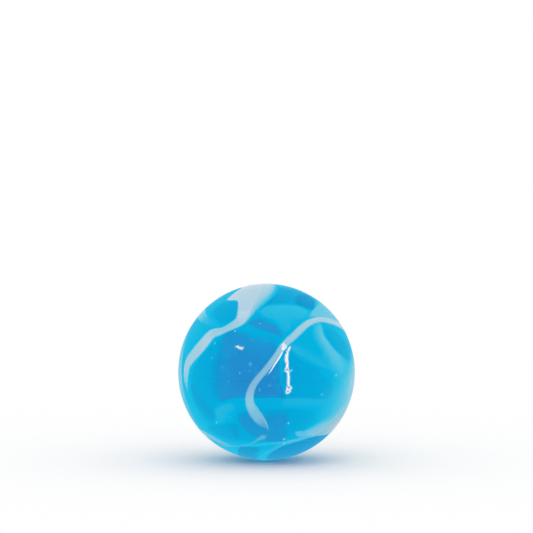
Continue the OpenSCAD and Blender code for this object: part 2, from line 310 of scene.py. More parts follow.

# The crease left by the gather, its eye and two loops, the painted glint at the pit, the small
# glint flecks, the glint along the S-shaped ribbon and the painted highlight patch on it: each
# place is [longitude, latitude, width in mm]. All are drawn as threads of white glass.
# The crease and its loops are real dents; the white crinkled glass on them is partly a painted
# highlight.
CREASE_RUN = [
    [16.5, 21.9, 0.05], [15.2, 20.1, 0.18], [14, 17.7, 0.27], [13.3, 15.4, 0.3], [13.3, 12.9, 0.3],
    [13.6, 10.4, 0.24], [13.4, 8.7, 0.26],
]
CREASE_FOOT_RUN = [
    [13.8, 6, 0.24], [14.2, 3.5, 0.28], [14.3, 1.5, 0.3], [14.2, -0.5, 0.3], [14.1, -2.8, 0.26],
]
CREASE_LOOPS = [
    [[13.3, 8.4, 0.15], [14.2, 7.9, 0.16], [14.4, 6.9, 0.15], [13.7, 6.1, 0.16], [12.7, 6.2, 0.16],
     [12.3, 7.2, 0.15], [12.6, 8.1, 0.15]],
    [[14.3, -3.1, 0.2], [15.6, -3.6, 0.18], [15.9, -4.7, 0.2], [14.9, -5.4, 0.18],
     [13.6, -5.1, 0.18], [13.2, -4.1, 0.18]],
    [[14.3, -5.4, 0.18], [15.3, -5.9, 0.18], [15, -7.2, 0.18], [13.9, -7.9, 0.2],
     [12.9, -7.6, 0.2], [13, -6.3, 0.18]],
]
# The white at the pit is a painted highlight; the pit itself is the dent in PIT_DISHES.
PIT_GLINT_RUNS = [
    [[-22.4, 22.1, 0.04], [-21, 22.2, 0.2], [-19.6, 21.9, 0.32], [-18.3, 21.2, 0.34],
     [-17.2, 20.6, 0.2], [-16.4, 20.9, 0.06]],
    [[-17.8, 20.5, 0.06], [-16.4, 21, 0.14], [-16.1, 21.9, 0.1], [-16.4, 22.6, 0.03]],
]
# The small flecks are painted highlights, drawn as white glass.
GLINT_FLECK_RUNS = [
    [[51, 0.8, 0.03], [51.8, 1.7, 0.07], [52.6, 2.6, 0.03]],
    [[38.8, -10.4, 0.03], [39.2, -10, 0.08], [39.6, -9.6, 0.03]],
    [[16.2, -30, 0.04], [16.3, -29.3, 0.11], [16.5, -28.7, 0.04]],
    [[-40.6, -30.8, 0.03], [-40.4, -30.1, 0.08], [-40.3, -29.4, 0.03]],
    [[15.6, -43.9, 0.04], [15.7, -43.2, 0.12], [15.9, -42.6, 0.04]],
    [[16.6, -46.6, 0.03], [17, -47.4, 0.1], [17.4, -48.4, 0.03]],
    [[-25.3, 32.2, 0.04], [-24.8, 32.6, 0.1], [-24.2, 32.9, 0.04]],
    [[14.6, 5.6, 0.08], [16, 6.5, 0.09], [17.4, 7.5, 0.03]],
    [[13, 13.7, 0.1], [12.3, 13.5, 0.1], [11.6, 13.2, 0.03]],
]
# The glint along the S-shaped ribbon is a painted highlight, drawn as a white thread.
GLINT_RUN = [
    [10.9, 18.8, 0.07], [9.9, 17.2, 0.1], [8.2, 14.6, 0.1], [6.5, 12.3, 0.1], [4.9, 10.1, 0.09],
    [3.2, 7.3, 0.07], [1.4, 4.8, 0.03],
]
# The broken patch on the S-shaped ribbon is a painted highlight of white glass.
HIGHLIGHT_PATCH_RUNS = [
    [[12.4, 25.1, 0.1], [12, 23.9, 0.34], [11.8, 22.6, 0.46], [11.6, 21.5, 0.4], [11, 20, 0.12]],
    [[14.2, 22.6, 0.05], [13.3, 21.7, 0.2], [12.2, 20.6, 0.14], [11.4, 19.6, 0.05]],
]

# The dents under them, as dishes: each (radius, depth) in mm, and for the pit with its
# (longitude, latitude, ...) first.
CREASE_DISH = (0.17, 0.05)
LOOP_DISH = (0.10, 0.05)
PIT_DISHES = ((-19.3, 22, 0.30, 0.09), (-17.4, 21.5, 0.16, 0.06))

# The larger seed bubbles: [longitude, latitude, width in mm, brightness from 0 to 1].
SEEDS = [
    [-39, 23.4, 0.26, 0.41], [-29.5, 24.6, 0.2, 0.32], [-5.5, 38.7, 0.24, 0.54],
    [-10.5, 26.8, 0.28, 0.3], [-9.5, 23, 0.22, 0.25], [-1, 26.5, 0.22, 0.27],
    [-3.5, 19, 0.24, 0.27], [-37, 17, 0.16, 0.36], [-35.5, 15, 0.18, 0.32],
    [-39, 13.5, 0.26, 0.37], [-26, 15.5, 0.22, 0.27], [-21.5, 17.5, 0.2, 0.23],
    [-30, 8.5, 0.24, 0.41], [-10.6, 11, 0.55, 0.2], [-10.4, 11, 0.24, 0.37], [-3, 11, 0.18, 0.27],
    [-11, 6.5, 0.24, 0.34], [-7, 5.5, 0.22, 0.37], [-7, 8, 0.2, 0.25], [-17.5, 5, 0.22, 0.54],
    [-24.5, 4, 0.24, 0.29], [-25, -0.5, 0.3, 0.37], [-11.5, 0, 0.2, 0.29], [-18, -5, 0.24, 0.29],
    [5, 3, 0.24, 0.29], [2, -2.5, 0.38, 0.3], [-4.5, -5.5, 0.32, 0.36], [2.5, -8, 0.24, 0.25],
    [10, 11, 0.2, 0.37], [11, 6, 0.2, 0.37], [18, 36.5, 0.24, 0.36], [-27, -25, 0.2, 0.49],
    [24, -4.5, 0.2, 0.3],
]

# Sections of what lies in the skin: the depth of its middle, and its bulge outwards and inwards.
# A crinkled thread's middle lies CRINKLE_SINK deep, less its lift, and it bulges CRINKLE_HEIGHT.
RIBBON_SECTION = (-0.004 * MM, 0.02 * MM, 0.05 * MM)
HOOK_SECTION = (-0.026 * MM, 0.02 * MM, 0.05 * MM)
VEIL_SECTION = (-0.002 * MM, 0.004 * MM, 0.03 * MM)
GLINT_SECTION = (-0.02 * MM, 0.015 * MM, 0.01 * MM)
CRINKLE_SINK, CRINKLE_HEIGHT = 0.01 * MM, 0.04 * MM

# The tones of each kind of streaked glass: (milk value, colour), from thin to thick. Its grain
# is how many streaks there are to a millimetre along and across.
WHITE_TONES = ((0.35, (0.47, 0.86, 0.90)), (0.74, (0.46, 0.69, 0.78)),
               (0.86, (0.44, 0.67, 0.77)), (0.96, (0.56, 0.74, 0.845)))
BRIGHT_TONES = ((0.60, (0.52, 0.74, 0.86)), (0.92, (0.475, 0.69, 0.81)))
MILKY_TONES = ((0.12, (0.16, 0.85, 0.87)), (0.42, (0.53, 0.79, 0.78)))
DENSE_TONES = ((0.10, (0.01, 0.04, 0.96)), (0.40, (0.02, 0.04, 0.98)))
VIOLET_TONES = ((0.02, (0.10, 0.04, 0.96)), (0.32, (0.33, 0.04, 0.98)))
RIBBON_GRAIN, VEIL_GRAIN, STREAM_GRAIN = (0.35, 2.5, 1), (0.25, 1.2, 1), (0.3, 0.3, 1)

# Where the ball's grid lines crowd along x, y and z, so that the crease gets its dents: the
# crowd's middle and spread, from -1 to 1, and the share of the lines in it.
GRID_CROWDS = ((0.33, 0.11, 0.4), (0, 1, 0), (0.15, 0.55, 0.3))


# ---------------------------------------------------------------- shapes on the ball

def place(lon, lat):
    """Unit vectors of places: (sin lon cos lat, -cos lon cos lat, sin lat)."""
    lon, lat = np.radians(lon), np.radians(lat)
    return np.stack([np.sin(lon) * np.cos(lat), -np.cos(lon) * np.cos(lat), np.sin(lat)], -1)


def unit(v):
    """Vectors divided by their own length."""
    return v / np.linalg.norm(v, axis=-1, keepdims=True)


def ease(t):
    """A smooth step from 0 to 1: 3 t^2 - 2 t^3, held level outside 0 to 1."""
    t = np.clip(t, 0, 1)
    return t * t * (3 - 2 * t)


def smooth_run(run, steps, closed=False):
    """A Catmull-Rom curve through the run's knots, each a unit vector and its other values.

    Between knots b and c, with neighbours a and d, the point at t is
    (2b + (c-a)t + (2a-5b+4c-d)t^2 + (3b-a-3c+d)t^3) / 2, put back on the unit ball.
    """
    run = np.asarray(run, float)
    knots = np.column_stack([place(run[:, 0], run[:, 1]), run[:, 2:]])
    if closed:
        led = np.vstack([knots[-1:], knots, knots[:2]])
    else:
        led = np.vstack([knots[:1], knots, knots[-1:]])
    a, b, c, d = led[:-3], led[1:-2], led[2:-1], led[3:]
    t = np.linspace(0, 1, steps, endpoint=False)[:, None, None]
    q = 0.5 * (2 * b + (c - a) * t + (2 * a - 5 * b + 4 * c - d) * t ** 2
               + (3 * b - a - 3 * c + d) * t ** 3)
    q = q.transpose(1, 0, 2).reshape(-1, knots.shape[1])
    if not closed:
        q = np.vstack([q, knots[-1]])
    q[:, :3] = unit(q[:, :3])
    return q


def swept(here, ahead, turn, radius):
    """Points beside each place of a run that heads ahead.

    A point is radius (here cos(turn) + side sin(turn)). The side, here x ahead, is to the
    left of the heading as seen from outside, and the turn is about the ball's middle.
    """
    side = unit(np.cross(here, ahead))
    return radius[..., None] * (here[:, None] * np.cos(turn)[..., None]
                                + side[:, None] * np.sin(turn)[..., None])


def tube_faces(rings, around):
    """Quads between rings that close on themselves, and a fan to a pole at each end.

    The first pole's vertex comes after all the rings, and the last pole's after that.
    """
    i = np.arange(rings - 1)[:, None] * around
    j = np.arange(around)[None, :]
    k = (j + 1) % around
    quads = np.stack([i + j, i + k, i + around + k, i + around + j], -1).reshape(-1, 4)
    j, k = j.ravel(), k.ravel()
    end = (rings - 1) * around
    start_fan = np.stack([np.full(around, rings * around), k, j], -1)
    end_fan = np.stack([np.full(around, rings * around + 1), end + j, end + k], -1)
    return quads, np.vstack([start_fan, end_fan])


def strip(run, depth, outer, inner, steps=8, around=24, soft=(0.14, 0.14)):
    """A ribbon of glass that follows the ball: a lens-shaped section carried along a run.

    Round the section by angle p, the point lies (width / 2) cos p to the side, along the
    ball. It lies at the radius BALL_R - depth, plus outer sin p in the section's outer half
    or plus inner sin p in its inner half. Both shrink with the width where that is under
    1.5 times their sum. The milk value is the whiteness on the outer half, faded over the
    soft share of the half-width at each edge, and 0 on the inner half.
    Returns points, quads, triangles, milk and uv.
    """
    run = np.asarray(run, float)
    if run.shape[1] == 4:
        run = np.column_stack([run, np.broadcast_to(soft, (len(run), 2))])
    q = smooth_run(run, steps)
    here, width, whiteness = q[:, :3], np.maximum(q[:, 3], 0.01) * MM, q[:, 4]
    p = np.linspace(0, 2 * np.pi, around, endpoint=False)
    half = (width / 2 / BALL_R)[:, None] * np.cos(p)
    taper = np.minimum(1, width / (1.5 * (outer + inner)))[:, None]
    radius = BALL_R - depth + np.where(np.sin(p) > 0, outer, inner) * np.sin(p) * taper
    points = swept(here, unit(np.gradient(here, axis=0)), half, radius)
    poles = here[[0, -1]] * (BALL_R - depth)
    quads, fans = tube_faces(len(q), around)
    across = np.broadcast_to(np.cos(p), half.shape)
    milk = ease((1 + across) / q[:, 5:6]) * ease((1 - across) / q[:, 6:7])
    milk = milk * whiteness[:, None] * (np.sin(p) > 1e-6)
    length = np.concatenate([[0], np.cumsum(np.linalg.norm(np.diff(here, axis=0), axis=1))])
    uv = np.stack([length[:, None] * BALL_R / MM + 0 * across, across * width[:, None] / MM], -1)
    points = np.vstack([points.reshape(-1, 3), poles])
    milk = np.concatenate([milk.ravel(), [0, 0]])
    uv = np.vstack([uv.reshape(-1, 2), [uv[0, 0], uv[-1, 0]]])
    return points, quads, fans, milk, uv


def crumple(run, lift, height, seed, closed=False, steps=9, around=10):
    """A crinkled thread of glass along a run of [longitude, latitude, width in mm].

    It is an oval section at the radius BALL_R + lift. From a seeded draw, each ring has
    0.3 to 1.1 of its width and lies up to 0.4 of it to either side, and each point has 0.3 to
    1.3 of that half-width and 0.2 to 1.2 of the height. The height shrinks with the width
    where that is under 0.15 mm.
    """
    draw = np.random.default_rng(seed)
    q = smooth_run(run, steps, closed)
    here, width = q[:, :3], np.maximum(q[:, 3], 0.01) * MM
    rings = len(q)
    if closed:
        ahead = unit(np.roll(here, -1, axis=0) - np.roll(here, 1, axis=0))
    else:
        ahead = unit(np.gradient(here, axis=0))
    p = np.linspace(0, 2 * np.pi, around, endpoint=False)
    wide = width * draw.uniform(0.3, 1.1, rings)
    shift = width * draw.uniform(-0.4, 0.4, rings)
    shake = draw.uniform(0.3, 1.3, (rings, around))
    half = (shift[:, None] + wide[:, None] / 2 * np.cos(p) * shake) / BALL_R
    tall = height * np.minimum(1, width / (0.15 * MM))[:, None]
    radius = BALL_R + lift + tall * np.sin(p) * draw.uniform(0.2, 1.2, (rings, around))
    points = swept(here, ahead, half, radius).reshape(-1, 3)
    quads, fans = tube_faces(rings, around)
    if closed:
        j = np.arange(around)
        k = (j + 1) % around
        last = (rings - 1) * around
        quads = np.vstack([quads, np.stack([last + j, last + k, k, j], -1)])
        return points, quads, np.zeros((0, 3), int)
    return np.vstack([points, here[[0, -1]] * (BALL_R + lift)]), quads, fans


def shards(run, count, length, seed):
    """Splinters of white glass lying along a run of [longitude, latitude, width in mm].

    Each splinter is a flat octahedron from length / 3 to length long and about a third as
    wide, turned by chance in the plane of the skin, mostly along the run, and set off to
    one side by up to about half the run's width.
    """
    draw = np.random.default_rng(seed)
    q = smooth_run(run, 40)
    ahead = unit(np.gradient(q[:, :3], axis=0))
    pick = draw.integers(0, len(q), count)
    here, ahead, width = q[pick, :3], ahead[pick], q[pick, 3] * MM
    side = np.cross(here, ahead)
    turn = draw.normal(0, 0.7, count)[:, None]
    along = ahead * np.cos(turn) + side * np.sin(turn)
    across = np.cross(here, along)
    middle = here * BALL_R + side * (width * draw.normal(0, 0.25, count))[:, None]
    middle += here * draw.uniform(-0.01, 0.03, count)[:, None] * MM
    half = (draw.uniform(0.33, 1, count) * length / 2)[:, None]
    axes = np.stack([along * half, across * half * draw.uniform(0.2, 0.45, count)[:, None],
                     here * 0.025 * MM * np.ones_like(half)], 1)
    points = middle[:, None] + np.concatenate([axes, -axes], 1)
    corner = np.array([[0, 1, 2], [1, 3, 2], [3, 4, 2], [4, 0, 2],
                       [1, 0, 5], [3, 1, 5], [4, 3, 5], [0, 4, 5]])
    triangles = corner[None] + 6 * np.arange(count)[:, None, None]
    return points.reshape(-1, 3), np.zeros((0, 4), int), triangles.reshape(-1, 3)


def blisters(places, count, seed):
    """Seed bubbles that have come up to the skin: flat domes, each a fan within a ring.

    To the given places are added count more, spread by a seeded draw, 0.08 mm wide plus
    0.14 mm v^3 with v drawn evenly from 0 to 1. On a dome, the ring at the share s of its
    radius lies height (1 - s^2) above the rim, and the milk value falls from the middle
    to 0 at the rim.
    """
    sides, height, lift = 8, 0.018 * MM, 0.006 * MM
    draw = np.random.default_rng(seed)
    places = np.asarray(places, float)
    middle = unit(np.vstack([place(places[:, 0], places[:, 1]), draw.normal(size=(count, 3))]))
    width = np.concatenate([places[:, 2], 0.08 + 0.14 * draw.random(count) ** 3]) * MM
    bright = np.concatenate([places[:, 3], draw.uniform(0.08, 0.35, count)])
    east = unit(np.cross(middle, [0.3, 0.5, 0.8]))
    north = np.cross(middle, east)
    turn = np.linspace(0, 2 * np.pi, sides, endpoint=False)
    rim = BALL_R + lift

    def ring(share):
        """The ring at this share of each dome's radius."""
        out = width[:, None, None] / 2 * share
        flat = (east[:, None] * np.cos(turn)[:, None] + north[:, None] * np.sin(turn)[:, None])
        return unit(middle[:, None] * rim + flat * out) * (rim + height * (1 - share ** 2))

    points = np.concatenate([ring(1.0), ring(0.5), middle[:, None] * (rim + height),
                             middle[:, None] * (rim - lift / 2)], 1)
    j = np.arange(sides)
    k = (j + 1) % sides
    quads = np.stack([j, k, sides + k, sides + j], -1)
    fans = np.vstack([np.stack([sides + j, sides + k, np.full(sides, 2 * sides)], -1),
                      np.stack([k, j, np.full(sides, 2 * sides + 1)], -1)])
    offset = points.shape[1] * np.arange(len(middle))[:, None, None]
    milk = bright[:, None] * np.concatenate([np.zeros(sides), np.full(sides, 0.7), [1, 0]])
    return (points.reshape(-1, 3), (quads[None] + offset).reshape(-1, 4),
            (fans[None] + offset).reshape(-1, 3), milk.ravel())


def patch(outline, depth, outer, inner, opacity, rings=14, steps=8):
    """A lens of glass inside a closed outline on the ball.

    At the share s of the way from the outline's middle to the outline, the point lies at
    the radius BALL_R - depth, plus outer sqrt(1 - s^2) on the outer face or minus inner
    sqrt(1 - s^2) on the inner one. Rings crowd towards the outline as s = 1 - (1 - t)^2.
    On the outer face the milk value falls from the opacity to 0 over the outline's soft
    width; on the inner one it is 0.
    """
    q = smooth_run(outline, steps, closed=True)
    edge, soft = q[:, :3], np.maximum(q[:, 3], 0.01) * MM
    middle = unit(edge.mean(0))
    reach = np.linalg.norm(edge - middle, axis=1) * BALL_R
    t = np.linspace(0, 1, rings + 1)[1:]
    s = 1 - (1 - t) ** 2
    s = np.concatenate([s, s[-2::-1]])
    face = np.concatenate([np.full(rings, outer), np.full(rings - 1, -inner)])
    here = unit(middle * (1 - s)[:, None, None] + edge * s[:, None, None])
    radius = BALL_R - depth + (face * np.sqrt(np.maximum(1 - s * s, 0)))[:, None, None]
    milk = opacity * ease((1 - s)[:, None] * reach / soft) * (face > 0)[:, None]
    points = np.vstack([(here * radius).reshape(-1, 3), [middle * (BALL_R - depth + outer)],
                        [middle * (BALL_R - depth - inner)]])
    east = unit(np.cross([0, 0, 1], middle))
    north = np.cross(middle, east)
    uv = np.stack([points @ east, points @ north], -1) / MM
    quads, fans = tube_faces(len(s), len(edge))
    return points, quads, fans, np.concatenate([milk.ravel(), [opacity, 0]]), uv


def outward(points, quads, triangles):
    """The faces, turned over if the volume that they enclose comes out negative."""
    a, b, c, d = (points[quads[:, n]] for n in range(4))
    e, f, g = (points[triangles[:, n]] for n in range(3))
    volume = (a * np.cross(b, c)).sum() + (a * np.cross(c, d)).sum() + (e * np.cross(f, g)).sum()
    return (quads, triangles) if volume > 0 else (quads[:, ::-1], triangles[:, ::-1])


def new_piece(name, points, quads, triangles, milk=None, uv=None, material=None, slot=None):
    """A closed mesh from whole arrays, riding on the ball's body.

    The milk value of each point goes into an attribute, and its uv into a map named strip.
    """
    quads, triangles = outward(points, quads, triangles)
    mesh = bpy.data.meshes.new(name)
    loops = np.concatenate([quads.ravel(), triangles.ravel()])
    sizes = np.concatenate([np.full(len(quads), 4), np.full(len(triangles), 3)])
    mesh.vertices.add(len(points))
    mesh.vertices.foreach_set("co", points.astype(np.float32).ravel())
    mesh.loops.add(len(loops))
    mesh.loops.foreach_set("vertex_index", loops.astype(np.int32))
    mesh.polygons.add(len(sizes))
    starts = np.concatenate([[0], np.cumsum(sizes)[:-1]])
    mesh.polygons.foreach_set("loop_start", starts.astype(np.int32))
    mesh.polygons.foreach_set("use_smooth", np.ones(len(sizes), bool))
    if milk is not None:
        layer = mesh.attributes.new("milk", "FLOAT", "POINT")
        layer.data.foreach_set("value", milk.astype(np.float32))
    if uv is not None:
        layer = mesh.uv_layers.new(name="strip")
        layer.data.foreach_set("uv", uv[loops].astype(np.float32).ravel())
    mesh.update(calc_edges=True)
    mesh.validate()
    piece = bpy.data.objects.new(name, mesh)
    bpy.context.scene.collection.objects.link(piece)
    mesh.materials.append(material)
    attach(piece, BODY)
    return piece


def spacing(count, middle, spread, share):
    """Grid lines from -1 to 1, with this share of them crowded within spread of middle.

    The others lie evenly, and the crowd's density goes as exp(-((x - middle) / spread)^4).
    """
    even = np.linspace(-1, 1, 2001)
    crowd = np.exp(-((even - middle) / spread) ** 4)
    weight = (1 - share) / 2 + share * crowd / (2 * crowd.mean())
    total = np.concatenate([[0], np.cumsum((weight[1:] + weight[:-1]) / 2)])
    return np.interp(np.linspace(0, total[-1], count + 1), total, even)


def cube_ball(count):
    """A ball as a cube's six grids blown up.

    A point is the unit vector of (tan(pi x / 4), tan(pi y / 4), tan(pi z / 4)), with one of
    x, y and z plus or minus 1 and the two others on the grid's lines.
    """
    xs, ys, zs = (spacing(count, *crowd) for crowd in GRID_CROWDS)

    def side(at, axis, a, b):
        """One face's grid: coordinate `axis` is `at`, the two others run over a and b."""
        u, v = np.meshgrid(a, b, indexing="ij")
        return np.insert(np.stack([u, v], -1), axis, at, axis=-1).reshape(-1, 3)

    points = np.vstack([side(at, axis, a, b) for at in (-1, 1)
                        for axis, a, b in ((0, ys, zs), (1, xs, zs), (2, xs, ys))])
    points = unit(np.tan(np.pi / 4 * points))
    i, j = np.meshgrid(np.arange(count), np.arange(count), indexing="ij")
    a = i * (count + 1) + j
    quad = np.stack([a, a + count + 1, a + count + 2, a + 1], -1).reshape(-1, 4)
    turned = quad[:, ::-1]
    order = (turned, quad, turned, quad, turned, quad)
    quads = np.vstack([face + s * (count + 1) ** 2 for s, face in enumerate(order)])
    keys = np.round(points * 1e6).astype(np.int64)
    _, first, inverse = np.unique(keys, axis=0, return_index=True, return_inverse=True)
    return points[first], inverse.ravel()[quads]


def dents(here):
    """How deep the skin dips at directions from the centre.

    Each dish is depth (1 - (distance / radius)^2) deep inside its radius. The crease is a row
    of small dishes along its runs, each loop a ring of them, and the pit a dish beside another.
    """
    crease = np.vstack([smooth_run(run, 2)[:, :3] for run in (CREASE_RUN, CREASE_FOOT_RUN)])
    loops = np.vstack([smooth_run(run, 2, closed=True)[:, :3] for run in CREASE_LOOPS])
    dishes = [(at, *CREASE_DISH) for at in crease] + [(at, *LOOP_DISH) for at in loops]
    dishes += [(place(lon, lat), *dish) for lon, lat, *dish in PIT_DISHES]
    depth = np.zeros(len(here))
    for at, radius, deep in dishes:
        away = np.linalg.norm(here - at, axis=1) * BALL_R
        depth = np.maximum(depth, deep * MM * (1 - (away / (radius * MM)) ** 2))
    return depth


# ---------------------------------------------------------------- materials

def new_material(name):
    """A node material with nothing but its output; returns it, its nodes, links and output."""
    material = bpy.data.materials.new(name)
    material.use_nodes = True
    nodes, links = material.node_tree.nodes, material.node_tree.links
    nodes.clear()
    return material, nodes, links, nodes.new("ShaderNodeOutputMaterial")


def add(nodes, kind, **values):
    """A new node with plain values on some inputs; an underscore stands for a space."""
    node = nodes.new(kind)
    for name, value in values.items():
        node.inputs[name.replace("_", " ")].default_value = value
    return node


def attribute(nodes, name):
    """The output that gives a point attribute of the mesh."""
    node = nodes.new("ShaderNodeAttribute")
    node.attribute_name = name
    return node.outputs["Fac"]


def mixed(nodes, links, share, first, second):
    """Two shaders mixed by a linked share: 0 gives the first one and 1 the second."""
    mix = nodes.new("ShaderNodeMixShader")
    links.new(share, mix.inputs["Fac"])
    links.new(first, mix.inputs[1])
    links.new(second, mix.inputs[2])
    return mix.outputs["Shader"]


def toned(nodes, links, share, tones):
    """The colours of a ramp with these tones, each (share, colour)."""
    ramp = nodes.new("ShaderNodeValToRGB")
    stops = ramp.color_ramp.elements
    for n, (position, colour) in enumerate(tones):
        stop = stops[n] if n < 2 else stops.new(position)
        stop.position, stop.color = position, (*colour, 1)
    links.new(share, ramp.inputs["Fac"])
    return ramp.outputs["Color"]


def speckled(nodes, links, scale, tones):
    """Tones laid out by noise of this many specks to a metre."""
    where = nodes.new("ShaderNodeTexCoord")
    specks = add(nodes, "ShaderNodeTexNoise", Scale=scale)
    links.new(where.outputs["Object"], specks.inputs["Vector"])
    return toned(nodes, links, specks.outputs["Fac"], tones)


def blue_glass(look):
    """Clear blue glass: a smooth clear skin over an absorbing inside."""
    material, nodes, links, out = new_material("blue_glass")
    glass = add(nodes, "ShaderNodeBsdfPrincipled", Base_Color=WHITE, Transmission_Weight=1,
                IOR=look.ior, Roughness=0, Specular_Tint=(*look.shine, 1))
    bend = add(nodes, "ShaderNodeBsdfRefraction", Color=WHITE, Roughness=0, IOR=look.ior)
    skin = add(nodes, "ShaderNodeMixShader", Fac=look.gloss)
    links.new(bend.outputs["BSDF"], skin.inputs[1])
    links.new(glass.outputs["BSDF"], skin.inputs[2])
    links.new(skin.outputs["Shader"], out.inputs["Surface"])
    inside = add(nodes, "ShaderNodeVolumeAbsorption", Color=(*look.tint, 1),
                 Density=look.density)
    links.new(inside.outputs["Volume"], out.inputs["Volume"])
    return material


def streaked_glass(name, tones, grain, wisp, gloss=0.2, roughness=0.12, glow=0.08):
    """Glass that hides what is behind it by its milk value.

    The milk value is first raised and cut by noise stretched along the run, by the share
    wisp, so that thin places look drawn out in threads. The tones are its colours, each
    (milk value, colour). The share glow of the light comes through from the other side.
    """
    material, nodes, links, out = new_material(name)
    uv = nodes.new("ShaderNodeUVMap")
    uv.uv_map = "strip"
    stretch = add(nodes, "ShaderNodeMapping", Scale=grain)
    links.new(uv.outputs["UV"], stretch.inputs["Vector"])
    streaks = add(nodes, "ShaderNodeTexNoise", Scale=1, Detail=3)
    links.new(stretch.outputs["Vector"], streaks.inputs["Vector"])
    cut = add(nodes, "ShaderNodeMapRange", To_Min=1 - wisp, To_Max=1 + wisp)
    links.new(streaks.outputs["Fac"], cut.inputs["Value"])
    product = nodes.new("ShaderNodeMath")
    product.operation = "MULTIPLY"
    product.use_clamp = True
    links.new(attribute(nodes, "milk"), product.inputs[0])
    links.new(cut.outputs["Result"], product.inputs[1])
    milk = product.outputs["Value"]
    tone = toned(nodes, links, milk, tones)
    glass = add(nodes, "ShaderNodeBsdfPrincipled", Roughness=roughness,
                Specular_IOR_Level=gloss)
    links.new(tone, glass.inputs["Base Color"])
    through = nodes.new("ShaderNodeBsdfTranslucent")
    links.new(tone, through.inputs["Color"])
    body = add(nodes, "ShaderNodeMixShader", Fac=glow)
    links.new(glass.outputs["BSDF"], body.inputs[1])
    links.new(through.outputs["BSDF"], body.inputs[2])
    clear = nodes.new("ShaderNodeBsdfTransparent")
    film = mixed(nodes, links, milk, clear.outputs["BSDF"], body.outputs["Shader"])
    links.new(film, out.inputs["Surface"])
    return material


def frost_and_glint_glass():
    """Crinkled white glass with greyer flecks. Its white is partly a painted highlight,
    and its faint glow paints the light it catches.
    """
    material, nodes, links, out = new_material("frost_and_glint_glass")
    # Painted highlight: the emission makes this glass glow, though it is no lamp.
    glass = add(nodes, "ShaderNodeBsdfPrincipled", Roughness=0.25, Specular_IOR_Level=0.5,
                Emission_Color=WHITE, Emission_Strength=0.14)
    flecks = speckled(nodes, links, 9000, ((0.28, (0.72, 0.78, 0.84)), (0.40, (1, 1, 1))))
    links.new(flecks, glass.inputs["Base Color"])
    links.new(glass.outputs["BSDF"], out.inputs["Surface"])
    return material


def seed_glass():
    """Seed bubbles: small pale skins, clear towards their rims."""
    material, nodes, links, out = new_material("seed_bubbles")
    skin = add(nodes, "ShaderNodeBsdfPrincipled", Roughness=0.3)
    kinds = speckled(nodes, links, 800, ((0.4, (0.14, 0.76, 1)), (0.7, (0.36, 0.88, 1))))
    links.new(kinds, skin.inputs["Base Color"])
    links.new(attribute(nodes, "milk"), skin.inputs["Alpha"])
    links.new(skin.outputs["BSDF"], out.inputs["Surface"])
    return material


def ray_is(nodes, links, *kinds):
    """An output that is 1 for rays of these kinds and 0 for the rest."""
    path = nodes.new("ShaderNodeLightPath")
    share = path.outputs[kinds[0]]
    for kind in kinds[1:]:
        either = nodes.new("ShaderNodeMath")
        either.operation = "MAXIMUM"
        links.new(share, either.inputs[0])
        links.new(path.outputs[kind], either.inputs[1])
        share = either.outputs["Value"]
    return share


def floor_material(look):
    """A white matt floor that thins out towards its rim, so that no horizon shows.

    Glass and gloss see it as plain white, which leaves the shadow to the floor itself.
    """
    material, nodes, links, out = new_material("pale_floor")
    where = nodes.new("ShaderNodeTexCoord")
    away = nodes.new("ShaderNodeVectorMath")
    away.operation = "LENGTH"
    links.new(where.outputs["Object"], away.inputs[0])
    fade = add(nodes, "ShaderNodeMapRange", From_Min=0.1 * look.floor_radius,
               From_Max=0.9 * look.floor_radius)
    fade.interpolation_type = "SMOOTHSTEP"
    links.new(away.outputs["Value"], fade.inputs["Value"])
    matt = add(nodes, "ShaderNodeBsdfDiffuse", Color=WHITE)
    plain = nodes.new("ShaderNodeEmission")
    clear = nodes.new("ShaderNodeBsdfTransparent")
    by_glass = ray_is(nodes, links, "Is Transmission Ray", "Is Glossy Ray")
    seen = mixed(nodes, links, by_glass, matt.outputs["BSDF"], plain.outputs["Emission"])
    floor = mixed(nodes, links, fade.outputs["Result"], seen, clear.outputs["BSDF"])
    links.new(floor, out.inputs["Surface"])
    return material


# ---------------------------------------------------------------- settings

class BallSettings(bpy.types.PropertyGroup):
    """The blue ball's size and glass"""
    radius: FloatProperty(name="Radius", description="Radius of the blue ball",
                          default=BALL_R, unit="LENGTH")
    cells: IntProperty(name="Cells", description="Grid cells along one side of each of six faces",
                       default=120, min=20, max=128)
    ior: FloatProperty(name="IOR", description="Refraction of the glass", default=1.5)
    gloss: FloatProperty(name="Gloss", description="Share of the light that the skin mirrors",
                         default=0.12, subtype="FACTOR")
    seeds: IntProperty(name="Seeds", description="Number of seed bubbles", default=200, min=0)
    shine: FloatVectorProperty(name="Shine", description="Colour of what the skin mirrors",
                               size=3, subtype="COLOR", default=(0.45, 0.7, 1.0))
    tint: FloatVectorProperty(name="Tint", description="Colour that the glass keeps",
                              size=3, subtype="COLOR", default=(0, 0.908, 0.967))
    density: FloatProperty(name="Density", description="Absorption for each metre of glass",
                           default=600)


class StageSettings(bpy.types.PropertyGroup):
    """The floor, the light and the view"""
    floor_radius: FloatProperty(name="Floor radius", description="Radius of the floor disc",
                                default=0.5, unit="LENGTH")
    world_light: FloatProperty(name="World light", description="Strength of the white world",
                               default=1.0)
    view_height: FloatProperty(name="View height", description="Camera's angle above the ball",
                               default=math.radians(6), subtype="ANGLE")
    view_distance: FloatProperty(name="View distance", description="From the camera to the ball",
                                 default=0.6, unit="LENGTH")
    ball_share: FloatProperty(name="Ball share", description="The ball's share of the view's side",
                              default=0.33114, subtype="FACTOR")
    ball_drop: FloatProperty(name="Ball drop", subtype="FACTOR", default=0.198,
                             description="How far below the middle, as a share of the view")


# ---------------------------------------------------------------- operators

